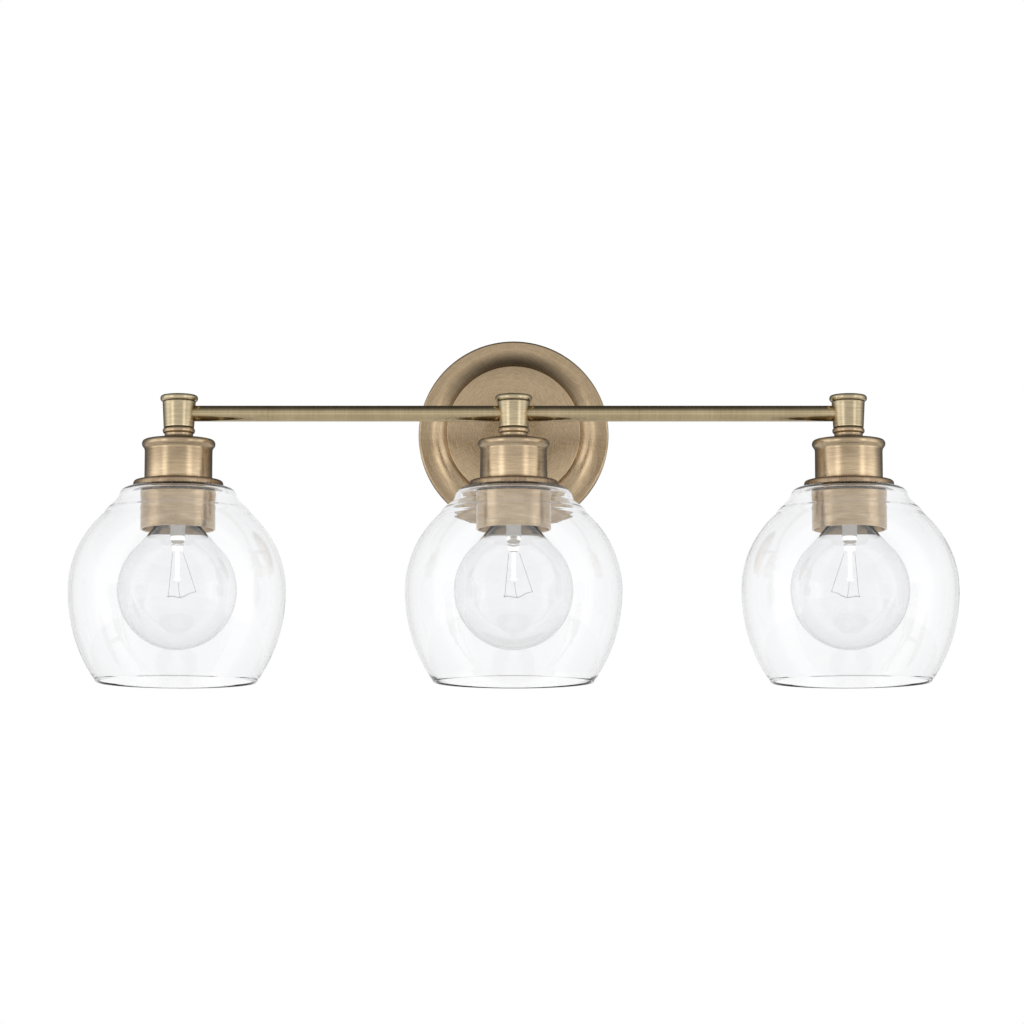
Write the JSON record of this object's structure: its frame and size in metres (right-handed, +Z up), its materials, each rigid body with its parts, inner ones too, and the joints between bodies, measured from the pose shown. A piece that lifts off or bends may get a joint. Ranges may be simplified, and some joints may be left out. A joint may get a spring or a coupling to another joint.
{
  "type": "vanity light bar",
  "caption": "Wall-mounted vanity light: a round canopy and short arm carry a slim brass bar with hanging clear glass shades and globe bulbs.",
  "frame": {"origin": "Middle of the wall strap's back face, which lies on the wall, level with the bar's middle line.", "axes": "+X along the bar to the viewer's right, +Y into the wall, +Z up."},
  "size_m": [0.5874, 0.1778, 0.2442],
  "materials": {
    "aged_brass": "aged brass, brushed and lacquered, with light wear on the edges",
    "shade_glass": "clear blown glass, gloss",
    "bulb_glass": "thin clear glass, gloss",
    "socket_insulator": "dark phenolic moulding, matte",
    "contact_brass": "plain stamped brass",
    "bulb_cap_metal": "nickel-plated screw cap",
    "filament_metal": "fine nickel and tungsten wire",
    "zinc_steel": "zinc-plated steel",
    "green_screw": "green-dipped screw head",
    "black_insulation": "soft plastic insulation",
    "white_insulation": "soft plastic insulation",
    "bare_copper": "bare copper wire"
  },
  "bodies": {
    "fixture": {"hub_left": "aged_brass", "hub_cap_left": "aged_brass", "neck_ring_left": "aged_brass", "socket_cup_left": "aged_brass", "shade_flange_left": "aged_brass", "socket_body_left": "socket_insulator", "screw_shell_left": "contact_brass", "centre_contact_left": "contact_brass", "nipple_left": "zinc_steel", "hub_middle": "aged_brass", "hub_cap_middle": "aged_brass", "neck_ring_middle": "aged_brass", "socket_cup_middle": "aged_brass", "shade_flange_middle": "aged_brass", "socket_body_middle": "socket_insulator", "screw_shell_middle": "contact_brass", "centre_contact_middle": "contact_brass", "nipple_middle": "zinc_steel", "hub_right": "aged_brass", "hub_cap_right": "aged_brass", "neck_ring_right": "aged_brass", "socket_cup_right": "aged_brass", "shade_flange_right": "aged_brass", "socket_body_right": "socket_insulator", "screw_shell_right": "contact_brass", "centre_contact_right": "contact_brass", "nipple_right": "zinc_steel", "bar_left": "aged_brass", "bar_right": "aged_brass", "arm_tube": "aged_brass", "canopy": "aged_brass", "wall_strap": "zinc_steel", "arm_washer": "zinc_steel", "arm_nut": "zinc_steel", "canopy_screw_left": "zinc_steel", "canopy_screw_right": "zinc_steel", "box_screw_left": "zinc_steel", "box_screw_right": "zinc_steel", "ground_screw": "green_screw", "wire_hot": "black_insulation", "wire_neutral": "white_insulation", "wire_ground": "bare_copper"},
    "shade_left": {"shade_left": "shade_glass"},
    "collar_left": {"collar_left": "aged_brass"},
    "bulb_left": {"bulb_envelope_left": "bulb_glass", "bulb_base_left": "bulb_cap_metal", "bulb_stem_left": "bulb_glass", "bulb_filament_left": "filament_metal"},
    "shade_middle": {"shade_middle": "shade_glass"},
    "collar_middle": {"collar_middle": "aged_brass"},
    "bulb_middle": {"bulb_envelope_middle": "bulb_glass", "bulb_base_middle": "bulb_cap_metal", "bulb_stem_middle": "bulb_glass", "bulb_filament_middle": "filament_metal"},
    "shade_right": {"shade_right": "shade_glass"},
    "collar_right": {"collar_right": "aged_brass"},
    "bulb_right": {"bulb_envelope_right": "bulb_glass", "bulb_base_right": "bulb_cap_metal", "bulb_stem_right": "bulb_glass", "bulb_filament_right": "filament_metal"}
  },
  "joints": [
    {"name": "shade_left_lower", "type": "slide", "parent": "fixture", "child": "shade_left", "axis": [0, 0, -1], "range_m": [0, 0.004]},
    {"name": "collar_left_unscrew", "type": "hinge", "parent": "shade_left", "child": "collar_left", "pos_m": [-0.222, -0.106, -0.06], "axis": [0, 0, -1], "range_deg": [0, 720]},
    {"name": "bulb_left_out", "type": "slide", "parent": "fixture", "child": "bulb_left", "axis": [0, 0, -1], "range_m": [0, 0.135]},
    {"name": "shade_middle_lower", "type": "slide", "parent": "fixture", "child": "shade_middle", "axis": [0, 0, -1], "range_m": [0, 0.004]},
    {"name": "collar_middle_unscrew", "type": "hinge", "parent": "shade_middle", "child": "collar_middle", "pos_m": [0, -0.106, -0.06], "axis": [0, 0, -1], "range_deg": [0, 720]},
    {"name": "bulb_middle_out", "type": "slide", "parent": "fixture", "child": "bulb_middle", "axis": [0, 0, -1], "range_m": [0, 0.135]},
    {"name": "shade_right_lower", "type": "slide", "parent": "fixture", "child": "shade_right", "axis": [0, 0, -1], "range_m": [0, 0.004]},
    {"name": "collar_right_unscrew", "type": "hinge", "parent": "shade_right", "child": "collar_right", "pos_m": [0.222, -0.106, -0.06], "axis": [0, 0, -1], "range_deg": [0, 720]},
    {"name": "bulb_right_out", "type": "slide", "parent": "fixture", "child": "bulb_right", "axis": [0, 0, -1], "range_m": [0, 0.135]}
  ],
  "couplings": [
    {"joint": "shade_left_lower", "follows": "collar_left_unscrew", "m_per_rad": 0.00031831},
    {"joint": "shade_middle_lower", "follows": "collar_middle_unscrew", "m_per_rad": 0.00031831},
    {"joint": "shade_right_lower", "follows": "collar_right_unscrew", "m_per_rad": 0.00031831}
  ]
}
